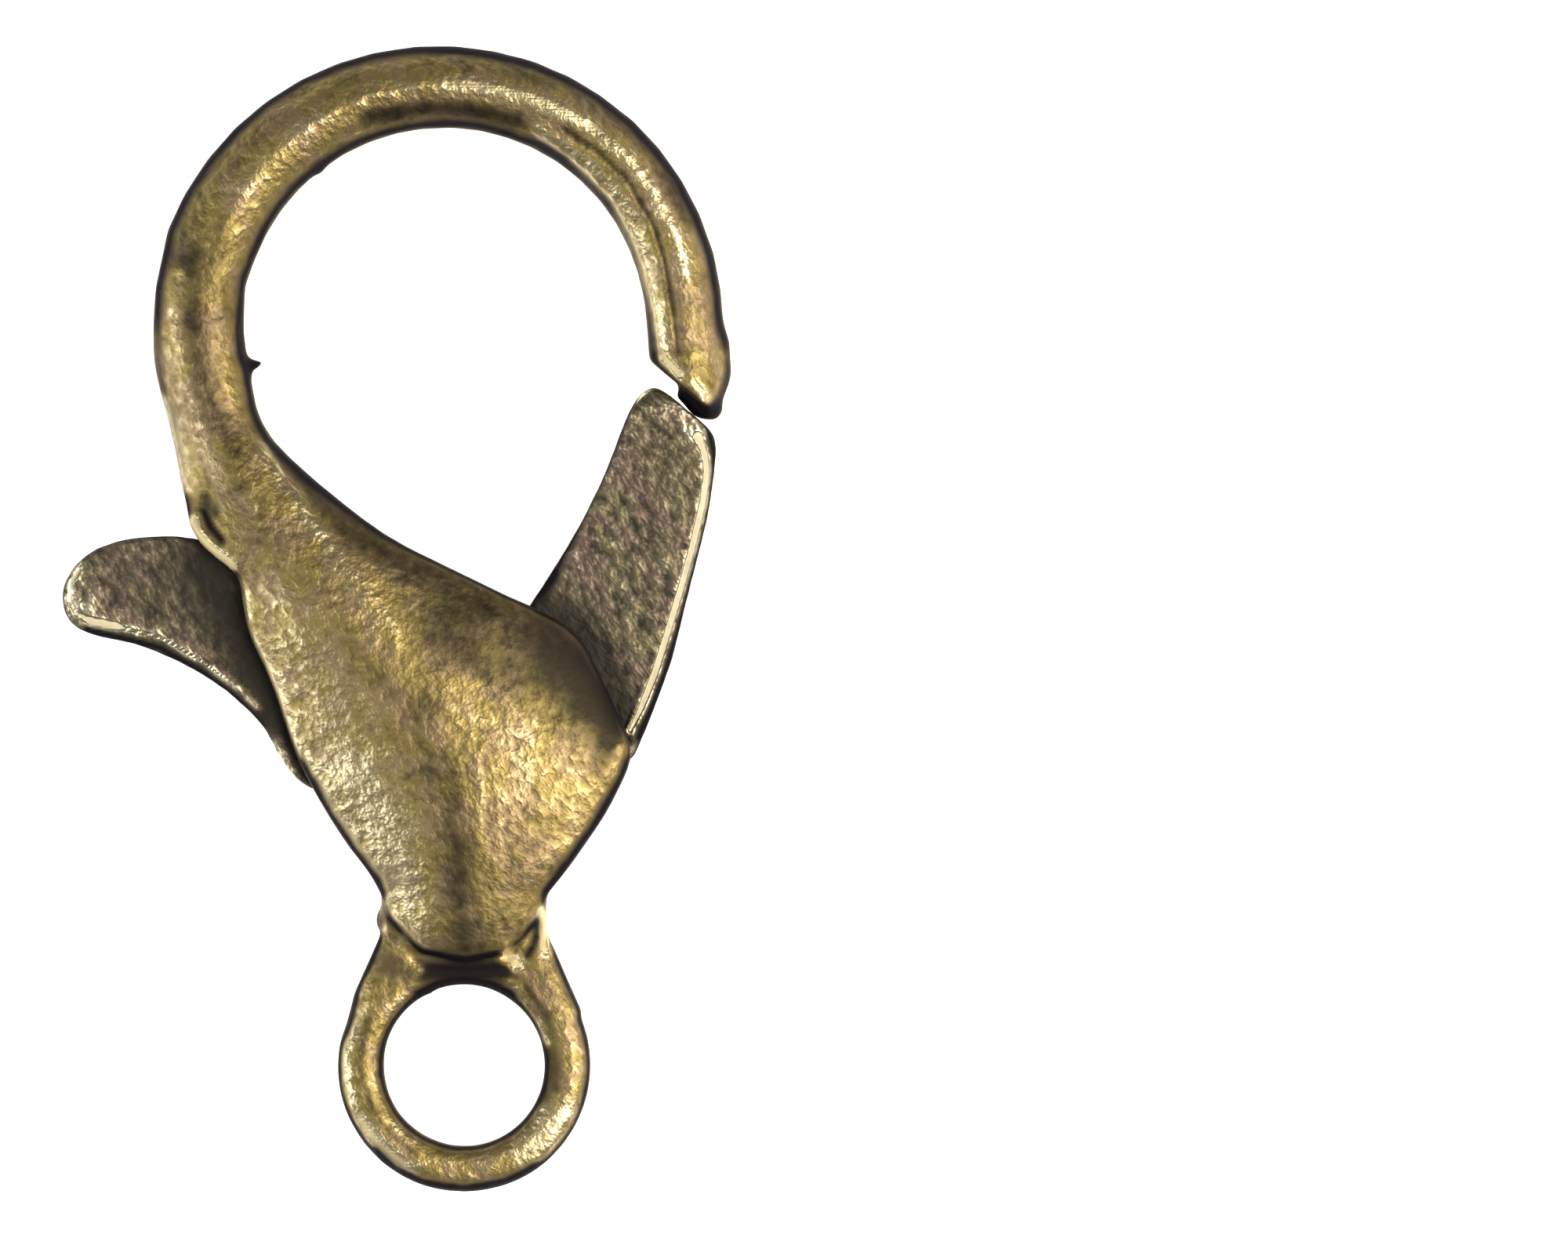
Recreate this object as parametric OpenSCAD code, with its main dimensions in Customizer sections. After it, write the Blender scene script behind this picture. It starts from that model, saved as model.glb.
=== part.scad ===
// Lobster clasp in cast metal: a casting that is hook, body and eye in one, a lever,
// the hidden pin that the lever turns on, and the hidden coil spring that shuts it.
// The eye's bore is centred on the origin, with its axis along Z.
// +Y runs up to the hook, +X to the side of the hook's tip, and +Z to the viewer.

/* [Hook] */
// Height of the hook ring's centre above the eye's centre
hook_rise = 22.4; // [20:0.1:26]
// How far the hook ring's centre lies to the left of the eye's centre
hook_shift = 0.6; // [0:0.1:1.2]
// Inside diameter of the hook ring
hook_hole_d = 12.3; // [11:0.1:13.5]
// Width of the hook's wire at its tip
hook_tip_w = 2.35; // [2.2:0.05:3]
// Width of the hook's wire at the top of the ring
hook_top_w = 2.5; // [1.8:0.05:3.2]
// Width of the hook's wire where it runs into the body
hook_root_w = 2.9; // [2.2:0.05:3.4]
// Thickness of the hook's wire
hook_t = 3; // [2.6:0.1:3.6]
// Angle of the hook's tip below the level of the ring's centre
tip_drop_angle = 15.5; // [10:0.5:18]
// Slope of the cut across the hook's tip
tip_slope_angle = 40; // [30:1:44]
// Width of the stop on the hook's end face, which the lever's end comes to rest at
stop_w = 1.1; // [0.8:0.05:1.2]
// Thickness of the stop
stop_t = 1.4; // [1:0.1:1.8]
// Gap between the stop and the shut lever
stop_gap = 0.15; // [0.1:0.01:0.18]

/* [Body] */
// Greatest thickness of the body
body_t = 5.2; // [4.8:0.1:6]
// Thickness of each cheek at its open edge
cheek_rim_t = 0.55; // [0.4:0.05:0.8]
// Height of the straight land around the hook's wire, where the mould parts
parting_land = 0.4; // [0.2:0.05:0.8]
// How far the body's rounded lower end laps over the eye's ring
nose_lap = 0.45; // [0.2:0.05:0.8]
// Width of the neck between the body and the eye
neck_w = 5; // [4:0.1:5.4]
// Thickness of the neck
neck_t = 1.8; // [1.4:0.1:2.2]

/* [Eye] */
// Diameter of the eye's bore
eye_bore_d = 4.9; // [4.2:0.1:5.4]
// Width of the eye's ring from bore to rim
eye_ring_w = 1.4; // [1.2:0.05:1.8]
// Thickness of the eye's ring
eye_t = 2.2; // [1.8:0.1:2.8]
// Radius of the eye ring's rounded edges
eye_edge_r = 0.55; // [0.3:0.05:0.6]
// How far the rails that run from the ring up to the neck stand out from the ring
rail_swell = 0.1; // [0.05:0.01:0.2]

/* [Lever] */
// Thickness of the lever
lever_t = 1.8; // [1.5:0.05:2]
// Reach of the thumb piece to the left of the pin
thumb_reach = 14.4; // [13.4:0.1:15.4]
// Diameter of the lever's hub around the pin
hub_d = 3.8; // [3:0.1:4]
// Angle that the lever turns through when the thumb piece is pressed
lever_swing = 22; // [16:1:24]
// Gap between the shut lever and the hook's tip
tip_gap = 0.4; // [0.2:0.05:0.6]
// Gap between each face of the lever and its cheek
cheek_gap = 0.1; // [0.06:0.01:0.16]
// Gap around the edge of the lever inside its slot
slot_gap = 0.15; // [0.1:0.01:0.25]

/* [Pin] */
// Diameter of the pin
pin_d = 1.2; // [0.9:0.05:1.5]
// Length of the pin
pin_l = 3.6; // [3:0.1:3.8]
// Radial clearance of the pin in the cheeks
pin_seat_gap = 0.02; // [0.01:0.01:0.05]
// Radial clearance of the pin in the lever
pin_run_gap = 0.05; // [0.03:0.01:0.1]

/* [Spring] */
// Outside diameter of the coil spring
spring_d = 1.5; // [1.2:0.05:1.6]
// Diameter of the spring's wire
spring_wire_d = 0.28; // [0.2:0.02:0.34]
// Length of the spring with the lever shut
spring_l = 2.4; // [2.1:0.1:2.5]
// Turns in the spring
spring_turns = 4; // [3:1:5]
// Distance of the spring's axis to the left of the pin
spring_offset = 3.2; // [3:0.1:3.4]
// Gap at each end of the spring and around it
spring_gap = 0.06; // [0.04:0.01:0.1]

/* [Hidden] */

hook_hole_r = hook_hole_d / 2;
hook_r = hook_hole_r + hook_top_w;
eye_bore_r = eye_bore_d / 2;
eye_r = eye_bore_r + eye_ring_w;
slot_t = lever_t + 2 * cheek_gap;
body_end = eye_r - nose_lap;
body_drop = hook_rise - body_end;

// A place in the plan: across is a share of the hook's outer radius, to the right of its
// centre, and down is a share of the drop from that centre to the body's lower end.
function plan_x(across) = across * hook_r - hook_shift;
function plan_y(down) = hook_rise - down * body_drop;
function place(across, down) = [plan_x(across), plan_y(down)];

function mix(a, b, share) = a + (b - a) * share;

// The pin's place in the body
PIN_ACROSS = 0.322;
PIN_DOWN = 0.685;
pin_at = place(PIN_ACROSS, PIN_DOWN);

// Level of the flat pad under the lever that the spring pushes on
PAD_DOWN = 0.73;
pad_y = plan_y(PAD_DOWN);
spring_x = pin_at[0] - spring_offset;
spring_floor_y = pad_y - spring_l - 2 * spring_gap;

// Sections of the casting from the hook's root down to where the rounded end begins.
// down: level, left and right: the two edges across, crest: the crest's share of the
// width from the left, swell: 0 as thick as the wire to 1 as thick as the body,
// rim: 0 the wire's narrow land to 1 the full edge of two cheeks and their slot.
// Columns: down, left, right, crest, swell, rim
BODY_SECTIONS = [
    [-0.070, -1.016, -0.700, 0.50, 0.00, 0.00],
    [0.000, -1.026, -0.704, 0.50, 0.00, 0.00],
    [0.063, -1.018, -0.682, 0.50, 0.00, 0.00],
    [0.126, -0.984, -0.660, 0.50, 0.02, 0.00],
    [0.176, -0.957, -0.602, 0.51, 0.09, 0.05],
    [0.226, -0.934, -0.492, 0.51, 0.20, 0.18],
    [0.276, -0.909, -0.360, 0.50, 0.34, 0.42],
    [0.327, -0.880, -0.212, 0.47, 0.48, 0.75],
    [0.362, -0.800, -0.068, 0.42, 0.60, 0.95],
    [0.396, -0.723, 0.085, 0.37, 0.72, 1.00],
    [0.428, -0.709, 0.228, 0.33, 0.82, 1.00],
    [0.459, -0.698, 0.382, 0.32, 0.90, 1.00],
    [0.496, -0.676, 0.486, 0.33, 0.96, 1.00],
    [0.540, -0.629, 0.536, 0.36, 1.00, 1.00],
    [0.590, -0.585, 0.588, 0.39, 1.00, 1.00],
    [0.641, -0.549, 0.640, 0.42, 1.00, 1.00],
    [0.685, -0.514, 0.657, 0.45, 0.98, 1.00],
    [0.729, -0.467, 0.621, 0.47, 0.95, 1.00],
    [0.779, -0.404, 0.563, 0.49, 0.89, 1.00],
    [0.829, -0.332, 0.489, 0.50, 0.81, 1.00],
    [0.867, -0.266, 0.430, 0.50, 0.73, 1.00],
    [0.904, -0.220, 0.364, 0.51, 0.63, 0.85]
];

// Outline of the lever's thumb piece, from the slot's roof round the thumb to the pad.
// Columns: share of the thumb's reach to the left of the pin, down
THUMB_OUTLINE = [
    [0.290, 0.540],
    [0.470, 0.458],
    [0.640, 0.362],
    [0.722, 0.334],
    [0.812, 0.331],
    [0.890, 0.340],
    [0.954, 0.363],
    [0.993, 0.402],
    [1.000, 0.436],
    [0.982, 0.470],
    [0.932, 0.490],
    [0.850, 0.503],
    [0.765, 0.528],
    [0.680, 0.564],
    [0.617, 0.603],
    [0.571, 0.641],
    [0.541, 0.685],
    [0.505, 0.720],
    [0.440, 0.742],
    [0.300, PAD_DOWN]
];

// Where the pad ends, as a share of the thumb's reach, and the lever's heel
PAD_END = 0.160;
HEEL_ACROSS = 0.510;
HEEL_DOWN = 0.733;

// Outline of the lever's arm, from the body's edge up past the hook's tip and down the
// side of the hook's opening.
// Columns: across, down
ARM_OUTLINE = [
    [0.668, 0.684],
    [0.709, 0.641],
    [0.742, 0.603],
    [0.802, 0.528],
    [0.843, 0.452],
    [0.885, 0.377],
    [0.926, 0.302],
    [0.951, 0.226],
    [0.957, 0.170],
    [0.940, 0.110],
    [0.850, 0.030],
    [0.740, 0.080],
    [0.694, 0.098],
    [0.666, 0.118],
    [0.632, 0.151],
    [0.569, 0.226],
    [0.489, 0.302],
    [0.393, 0.377],
    [0.288, 0.450],
    [0.170, 0.525],
    [0.040, 0.560]
];

// Points across each half of a section, and the steps between two rows of the table
HALF_POINTS = 13;
ROW_STEPS = 2;
// The hook's wire starts past its tip, so that the cut crosses all of it, and is straight
// up to the tail's angle
RING_START = -32;
TAIL_ANGLE = 4;
RING_END = 160;
RING_STEP = 8;
// Shares of the way down the body's rounded lower end, and the least share of its last
// section that is kept at the very end
NOSE_STEPS = [0.4, 0.7, 0.9, 1];
NOSE_TIP = 0.25;
// How much of its narrowing the lower end also loses in thickness, as a power
NOSE_THINNING = 0.45;
// How much flatter than an ellipse the body's fullest section is
CREST_POWER = 0.4;
FLANK_POWER = 0.8;
// The box that trims the hook's tip, along and behind the cut, in shares of the tip's width
TRIM_ALONG = 3.2;
TRIM_DEEP = 1.8;
trim_box = [TRIM_ALONG * hook_tip_w, TRIM_DEEP * hook_tip_w, 2 * hook_t];
// The slot stops at this level, below the hook's tip
SLOT_TOP_DOWN = 0.25;
SWING_STEPS = 10;
SPRING_SIDES = 6;
SPRING_RINGS_PER_TURN = 14;
ROUND_SIDES = 64;

function hook_wire_w(angle) = angle < 90
    ? mix(hook_tip_w, hook_top_w, max(angle, 0) / 90)
    : mix(hook_top_w, hook_root_w, (angle - 90) / 90);

// A point of the hook's ring. Below the tail's angle the wire runs straight on to its tip.
function ring_point(angle, radius) =
    let (
        turn = max(angle, TAIL_ANGLE),
        run = radius * (turn - angle) * PI / 180
    )
    [
        radius * cos(turn) + run * sin(turn) - hook_shift,
        hook_rise + radius * sin(turn) - run * cos(turn)
    ];

// Half of a section's height at t, which runs from 1 at the right edge to -1 at the left
function rise(t, half_t, rim, swell) =
    rim + (half_t - rim)
        * pow(max(0, 1 - pow(abs(t), 2 - CREST_POWER * swell)), 1 / (2 - FLANK_POWER * swell));

function across_section(left, right, crest, t) = t > 0 ? mix(crest, right, t) : mix(crest, left, -t);

function half_section(left, right, crest, half_t, rim, swell, side) = [
    for (i = [0 : HALF_POINTS - 1])
        let (t = cos(180 * (side > 0 ? i : HALF_POINTS - 1 - i) / (HALF_POINTS - 1)))
        let (at = across_section(left, right, crest, t))
        [at[0], at[1], side * rise(t, half_t, rim, swell)]
];

function section(left, right, crest, half_t, rim, swell) = concat(
    half_section(left, right, crest, half_t, rim, swell, 1),
    half_section(left, right, crest, half_t, rim, swell, -1)
);

function ring_section(angle) =
    let (
        outer = ring_point(angle, hook_hole_r + hook_wire_w(angle)),
        inner = ring_point(angle, hook_hole_r)
    )
    section(outer, inner, (outer + inner) / 2, hook_t / 2, parting_land / 2, 0);

// A row's edges, half thickness and rim as lengths
function row_left(row) = place(row[1], row[0]);
function row_right(row) = place(row[2], row[0]);
function row_half_t(row) = mix(hook_t, body_t, row[4]) / 2;
function row_rim(row) = mix(parting_land, slot_t + 2 * cheek_rim_t, row[5]) / 2;

function row_section(row) =
    section(
        row_left(row), row_right(row), mix(row_left(row), row_right(row), row[3]),
        row_half_t(row), row_rim(row), row[4]
    );

// The body's rounded lower end shrinks as a quarter of an ellipse from the last row
function nose_section(row, share) =
    let (
        keep = max(NOSE_TIP, sqrt(1 - share * share)),
        keep_t = pow(keep, NOSE_THINNING),
        down = mix(row[0], 1, share),
        middle = mix(row_left(row), row_right(row), row[3])[0],
        left = [mix(middle, row_left(row)[0], keep), plan_y(down)],
        right = [mix(middle, row_right(row)[0], keep), plan_y(down)]
    )
    section(left, right, [middle, plan_y(down)], row_half_t(row) * keep_t, row_rim(row) * keep_t, row[4]);

// A smooth curve through the rows of a table
function curve_row(rows, i, share) =
    let (
        a = rows[max(i - 1, 0)],
        b = rows[i],
        c = rows[i + 1],
        d = rows[min(i + 2, len(rows) - 1)]
    )
    (2 * b + (c - a) * share + (2 * a - 5 * b + 4 * c - d) * pow(share, 2)
        + (3 * b - a - 3 * c + d) * pow(share, 3)) / 2;

function smooth_rows(rows) = concat(
    [for (i = [0 : len(rows) - 2]) for (k = [0 : ROW_STEPS - 1]) curve_row(rows, i, k / ROW_STEPS)],
    [rows[len(rows) - 1]]
);

// Skin over a list of closed sections that all have the same number of points
module skin(sections) {
    count = len(sections[0]);
    last = len(sections) - 1;
    points = [for (s = sections) for (p = s) p];
    sides = [
        for (i = [0 : last - 1]) for (k = [0 : count - 1])
            let (a = i * count + k, b = i * count + (k + 1) % count)
            each [[a, b + count, b], [a, a + count, b + count]]
    ];
    start_cap = [for (k = [1 : count - 2]) [0, k, k + 1]];
    end_cap = [for (k = [1 : count - 2]) [last * count, last * count + k + 1, last * count + k]];
    polyhedron(points, concat(sides, start_cap, end_cap));
}

// Hook and body in one flowing form
module hook_and_body() {
    rows = smooth_rows(BODY_SECTIONS);
    last_row = rows[len(rows) - 1];
    skin(concat(
        [for (angle = [RING_START : RING_STEP : RING_END]) ring_section(angle)],
        [for (row = rows) row_section(row)],
        [for (share = NOSE_STEPS) nose_section(last_row, share)]
    ));
}

// Everything on the far side of the hook's slanted tip, moved towards the lever by a gap
module past_tip(gap, box) {
    tip = ring_point(-tip_drop_angle, hook_hole_r + hook_tip_w / 2);
    translate([tip[0], tip[1], 0])
        rotate(-tip_slope_angle)
            translate([-box[0] / 2, -gap, -box[2] / 2])
                cube(box);
}

// Everything on the lever's side of the hook's slanted tip
module before_tip(box) {
    tip = ring_point(-tip_drop_angle, hook_hole_r + hook_tip_w / 2);
    translate([tip[0], tip[1], 0])
        rotate(-tip_slope_angle)
            translate([-box[0] / 2, -box[1], -box[2] / 2])
                cube(box);
}

// The small stop on the outer half of the hook's slanted end face
module tip_stop() {
    tip = ring_point(-tip_drop_angle, hook_hole_r + hook_tip_w / 2);
    reach = tip_gap - stop_gap;
    translate([tip[0], tip[1], 0])
        rotate(-tip_slope_angle)
            translate([0, -reach, -stop_t / 2])
                cube([stop_w, 2 * reach, stop_t]);
}

// Section across the eye's ring, from the bore at the left to the rim
module eye_profile() {
    inner = eye_bore_r + eye_edge_r;
    outer = eye_r - eye_edge_r;
    high = eye_t / 2 - eye_edge_r;
    for (x = [inner, outer]) for (y = [-high, high])
        translate([x, y]) circle(eye_edge_r, $fn = ROUND_SIDES);
    translate([inner, -eye_t / 2]) square([outer - inner, eye_t]);
    translate([eye_bore_r, -high]) square([eye_ring_w, 2 * high]);
}

module eye_ring() {
    rotate_extrude($fn = ROUND_SIDES) eye_profile();
}

// On each side a rail leaves the ring along its tangent and runs up to the neck's edge
module eye_rails() {
    corner = [neck_w / 2, eye_r];
    touch = atan2(corner[1], corner[0]) - acos(eye_r / norm(corner));
    run = sqrt(pow(norm(corner), 2) - pow(eye_r, 2)) + rail_swell / sin(touch);
    for (side = [0, 1])
        mirror([side, 0, 0])
            rotate([90, 0, touch])
                translate([rail_swell, 0, -run])
                    linear_extrude(run) eye_profile();
}

// The neck runs from inside the eye's ring to inside the body's lower end
module neck() {
    foot = eye_bore_r / 2;
    head = body_end + neck_w / 2;
    difference() {
        translate([-neck_w / 2, foot, -neck_t / 2]) cube([neck_w, head - foot, neck_t]);
        cylinder(r = eye_bore_r + eye_ring_w / 2, h = 2 * neck_t, center = true, $fn = ROUND_SIDES);
    }
}

module lever_plan() {
    thumb = [for (p = THUMB_OUTLINE) [pin_at[0] - p[0] * thumb_reach, plan_y(p[1])]];
    pad = [[pin_at[0] - PAD_END * thumb_reach, pad_y], place(HEEL_ACROSS, HEEL_DOWN)];
    arm = [for (p = ARM_OUTLINE) place(p[0], p[1])];
    polygon(concat(smooth_rows(thumb), pad, smooth_rows(arm)));
}

// The slot takes the lever at every angle of its swing, and the spring below the pad
module slot_plan() {
    room = spring_d / 2 + spring_gap;
    intersection() {
        offset(delta = slot_gap)
            for (step = [0 : SWING_STEPS])
                translate(pin_at)
                    rotate(lever_swing * step / SWING_STEPS)
                        translate(-pin_at) lever_plan();
        translate([plan_x(-2), body_end]) square([4 * hook_r, plan_y(SLOT_TOP_DOWN) - body_end]);
    }
    translate([spring_x - room, spring_floor_y]) square([2 * room, pad_y - spring_floor_y]);
}

module on_pin_axis() {
    translate([pin_at[0], pin_at[1], 0]) children();
}

module casting() {
    color([0.62, 0.54, 0.34])
        difference() {
            union() {
                difference() {
                    hook_and_body();
                    before_tip(trim_box);
                }
                tip_stop();
                neck();
                eye_rails();
                eye_ring();
            }
            translate([0, 0, -slot_t / 2]) linear_extrude(slot_t) slot_plan();
            on_pin_axis() {
                cylinder(r = hub_d / 2 + slot_gap, h = slot_t, center = true, $fn = ROUND_SIDES);
                cylinder(
                    r = pin_d / 2 + pin_seat_gap, h = pin_l + 2 * pin_seat_gap,
                    center = true, $fn = ROUND_SIDES
                );
            }
        }
}

module lever() {
    color([0.45, 0.41, 0.33])
        difference() {
            union() {
                translate([0, 0, -lever_t / 2]) linear_extrude(lever_t) lever_plan();
                on_pin_axis() cylinder(d = hub_d, h = lever_t, center = true, $fn = ROUND_SIDES);
            }
            past_tip(tip_gap, trim_box);
            on_pin_axis()
                cylinder(r = pin_d / 2 + pin_run_gap, h = 2 * lever_t, center = true, $fn = ROUND_SIDES);
        }
}

module pivot_pin() {
    color([0.7, 0.7, 0.68])
        on_pin_axis() cylinder(d = pin_d, h = pin_l, center = true, $fn = ROUND_SIDES);
}

module return_spring() {
    coil_r = (spring_d - spring_wire_d) / 2;
    rings = spring_turns * SPRING_RINGS_PER_TURN;
    foot_y = spring_floor_y + spring_gap + spring_wire_d / 2;
    pitch = (spring_l - spring_wire_d) / spring_turns;
    color([0.75, 0.75, 0.74])
        skin([
            for (i = [0 : rings])
                let (turn = 360 * i / SPRING_RINGS_PER_TURN)
                [
                    for (k = [0 : SPRING_SIDES - 1])
                        let (
                            side = 360 * k / SPRING_SIDES,
                            radius = coil_r + spring_wire_d / 2 * cos(side),
                            height = foot_y + pitch * turn / 360 + spring_wire_d / 2 * sin(side)
                        )
                        [spring_x + radius * cos(turn), height, radius * sin(turn)]
                ]
        ]);
}

casting();
lever();
pivot_pin();
return_spring();
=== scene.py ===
# %% [markdown]
# # A cast lobster clasp in antique bronze
# The clasp has four pieces: a casting that is hook, body and eye in one, a lever that shuts
# the hook, the pin that the lever turns on and the coil spring that shuts it. Their sizes and
# places come from a fixed frame of plain solids. This script dresses them: it rounds and
# roughens the cast pieces as a foundry would, winds the spring from wire, and gives each
# piece its finish, the worn, blackened plating of antique bronze outside and steel inside.

import math

import bmesh
import bpy
import numpy as np
from mathutils import Matrix, Vector, noise


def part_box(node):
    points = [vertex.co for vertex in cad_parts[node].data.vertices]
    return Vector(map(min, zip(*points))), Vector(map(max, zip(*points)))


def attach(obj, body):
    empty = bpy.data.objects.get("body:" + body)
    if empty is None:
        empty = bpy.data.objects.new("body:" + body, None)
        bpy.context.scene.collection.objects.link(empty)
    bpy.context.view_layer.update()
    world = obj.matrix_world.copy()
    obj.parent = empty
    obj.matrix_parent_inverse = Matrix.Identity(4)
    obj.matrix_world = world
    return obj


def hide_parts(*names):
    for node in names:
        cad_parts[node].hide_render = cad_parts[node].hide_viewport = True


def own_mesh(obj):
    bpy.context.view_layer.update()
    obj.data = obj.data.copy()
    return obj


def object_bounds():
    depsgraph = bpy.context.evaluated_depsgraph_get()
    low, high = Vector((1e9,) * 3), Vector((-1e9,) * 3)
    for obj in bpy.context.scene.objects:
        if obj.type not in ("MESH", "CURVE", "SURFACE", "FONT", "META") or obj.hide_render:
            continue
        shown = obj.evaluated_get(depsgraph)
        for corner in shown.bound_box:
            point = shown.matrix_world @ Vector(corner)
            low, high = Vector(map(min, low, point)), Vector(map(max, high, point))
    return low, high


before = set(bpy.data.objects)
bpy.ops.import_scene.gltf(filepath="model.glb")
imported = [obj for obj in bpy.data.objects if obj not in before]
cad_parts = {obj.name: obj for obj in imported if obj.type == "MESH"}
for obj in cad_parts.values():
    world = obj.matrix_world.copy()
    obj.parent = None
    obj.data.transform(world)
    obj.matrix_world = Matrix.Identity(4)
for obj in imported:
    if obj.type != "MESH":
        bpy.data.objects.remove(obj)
cad_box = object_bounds()
MM = 0.001
print("solids in the frame:", sorted(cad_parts))
print("frame box in mm:", [[round(value / MM, 2) for value in corner] for corner in cad_box])

# %% [markdown]
# ## The camera
# The photograph looks straight down on two clasps laid side by side. Only the left one is
# made, so the camera stands over the middle of the whole picture, and the clasp keeps its
# place to the left of it. A long lens from far off keeps the view as flat as the photograph's.

# %% Photograph scale and camera
PHOTO_WIDTH_PIXELS = 2000
PHOTO_HEIGHT_PIXELS = 1588
EYE_PIXEL = (592, 1359)
CLASP_LENGTH_PIXELS = 1466
CLASP_LENGTH_MM = 35
MM_PER_PIXEL = CLASP_LENGTH_MM / CLASP_LENGTH_PIXELS
SENSOR_MM = 36
CAMERA_HEIGHT_MM = 600
NEAR_CLIP_MM = 10
FAR_CLIP_MM = 10000


def at_pixel(column, row):
    """The place in the clasp's own plan, in mm, of a pixel of the photograph."""
    return ((column - EYE_PIXEL[0]) * MM_PER_PIXEL, (EYE_PIXEL[1] - row) * MM_PER_PIXEL)


def add_camera():
    lens_data = bpy.data.cameras.new("photo_camera")
    camera = bpy.data.objects.new("photo_camera", lens_data)
    bpy.context.scene.collection.objects.link(camera)
    middle = at_pixel(PHOTO_WIDTH_PIXELS / 2, PHOTO_HEIGHT_PIXELS / 2)
    camera.location = (middle[0] * MM, middle[1] * MM, CAMERA_HEIGHT_MM * MM)
    lens_data.sensor_width = SENSOR_MM
    lens_data.lens = SENSOR_MM * CAMERA_HEIGHT_MM / (PHOTO_WIDTH_PIXELS * MM_PER_PIXEL)
    lens_data.clip_start = NEAR_CLIP_MM * MM
    lens_data.clip_end = FAR_CLIP_MM * MM
    bpy.context.scene.camera = camera
    return camera


camera = add_camera()
print("camera over", [round(value / MM, 2) for value in camera.location], "mm")
print("lens", round(camera.data.lens), "mm")

# %% [markdown]
# ## Floor and light
# Small shiny castings are photographed on a sheet that is lit from below, so that the ground
# turns white and no hard shadow falls on it. Two softboxes stand at the sides. The right one
# is high and warm and draws the bright band round the hook's wire, and the left one is lower
# and cooler and lights the body's left flank. Nothing stands behind the hook or overhead, so
# level tops and the slopes that face up in the picture stay dark. That contrast is what
# models the form, and a light from every side would flatten it.

# %% Floor
FLOOR_SIZE_MM = 900
FLOOR_GAP_MM = 0.02
PAPER_COLOUR = (0.93, 0.93, 0.93, 1)
PAPER_ROUGHNESS = 0.9
PAPER_SPECULAR = 0.1
PAPER_GLOW = 1.0


def add_floor():
    mesh = bpy.data.meshes.new("paper_floor")
    half = FLOOR_SIZE_MM / 2 * MM
    level = cad_box[0][2] - FLOOR_GAP_MM * MM
    corners = [(-half, -half, level), (half, -half, level), (half, half, level), (-half, half, level)]
    mesh.from_pydata(corners, [], [(0, 1, 2, 3)])
    floor = bpy.data.objects.new("paper_floor", mesh)
    bpy.context.scene.collection.objects.link(floor)
    paper = bpy.data.materials.new("white_paper")
    paper.use_nodes = True
    shader = paper.node_tree.nodes["Principled BSDF"]
    shader.inputs["Base Color"].default_value = PAPER_COLOUR
    shader.inputs["Roughness"].default_value = PAPER_ROUGHNESS
    shader.inputs["Specular IOR Level"].default_value = PAPER_SPECULAR
    shader.inputs["Emission Color"].default_value = PAPER_COLOUR
    shader.inputs["Emission Strength"].default_value = PAPER_GLOW
    mesh.materials.append(paper)
    return floor


floor = add_floor()
print("floor at z =", round(floor.data.vertices[0].co.z / MM, 2), "mm")

# %% Softboxes and room
# name: distance in mm, height angle, side angle from +X, size in mm, power in watts, colour
SOFTBOXES = {
    "right_softbox": (330, 55, -2, (190, 230), 1.05, (1.0, 0.93, 0.80)),
    "left_softbox": (330, 34, 186, (150, 240), 0.38, (0.95, 0.97, 1.0)),
}
LIGHT_TARGET_MM = (0, 14, 0)
ROOM_COLOUR = (0.12, 0.122, 0.125)
ROOM_STRENGTH = 1.0


def add_softbox(name, distance, height_angle, side_angle, size, power, colour):
    light = bpy.data.lights.new(name, "AREA")
    light.shape = "RECTANGLE"
    light.size = size[0] * MM
    light.size_y = size[1] * MM
    light.energy = power
    light.color = colour
    lamp = bpy.data.objects.new(name, light)
    bpy.context.scene.collection.objects.link(lamp)
    up = math.radians(height_angle)
    side = math.radians(side_angle)
    way = Vector((math.cos(up) * math.cos(side), math.cos(up) * math.sin(side), math.sin(up)))
    lamp.location = (Vector(LIGHT_TARGET_MM) + distance * way) * MM
    lamp.rotation_euler = (-way).to_track_quat("-Z", "Y").to_euler()


def add_room():
    room = bpy.data.worlds.new("dim_room")
    room.use_nodes = True
    background = room.node_tree.nodes["Background"]
    background.inputs["Color"].default_value = (*ROOM_COLOUR, 1)
    background.inputs["Strength"].default_value = ROOM_STRENGTH
    bpy.context.scene.world = room


for name, setting in SOFTBOXES.items():
    add_softbox(name, *setting)
add_room()
bpy.context.scene.view_settings.view_transform = "Standard"
print("softboxes:", len(SOFTBOXES))

# %% [markdown]
# ## From a plain solid to a casting
# A casting has no sharp corners: the mould's edges crumble, and tumbling and wear round off
# the rest. One way to get this is a bevel on every edge, but the body's edges run into each
# other at odd angles, where bevels break. So the solid is turned into a fine, even skin of
# small squares, which is then relaxed a little. Corners come out round everywhere, and the
# skin is fine enough to carry the dents and lumps that are pushed into it afterwards. All of
# this is done in millimetres, because the squares are only about a tenth of one wide.

# %% Copy a solid and lay a skin over it
SPLIT_CORNER_GAP_MM = 0.002
LUMP_SUBDIVISIONS = 2


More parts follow.
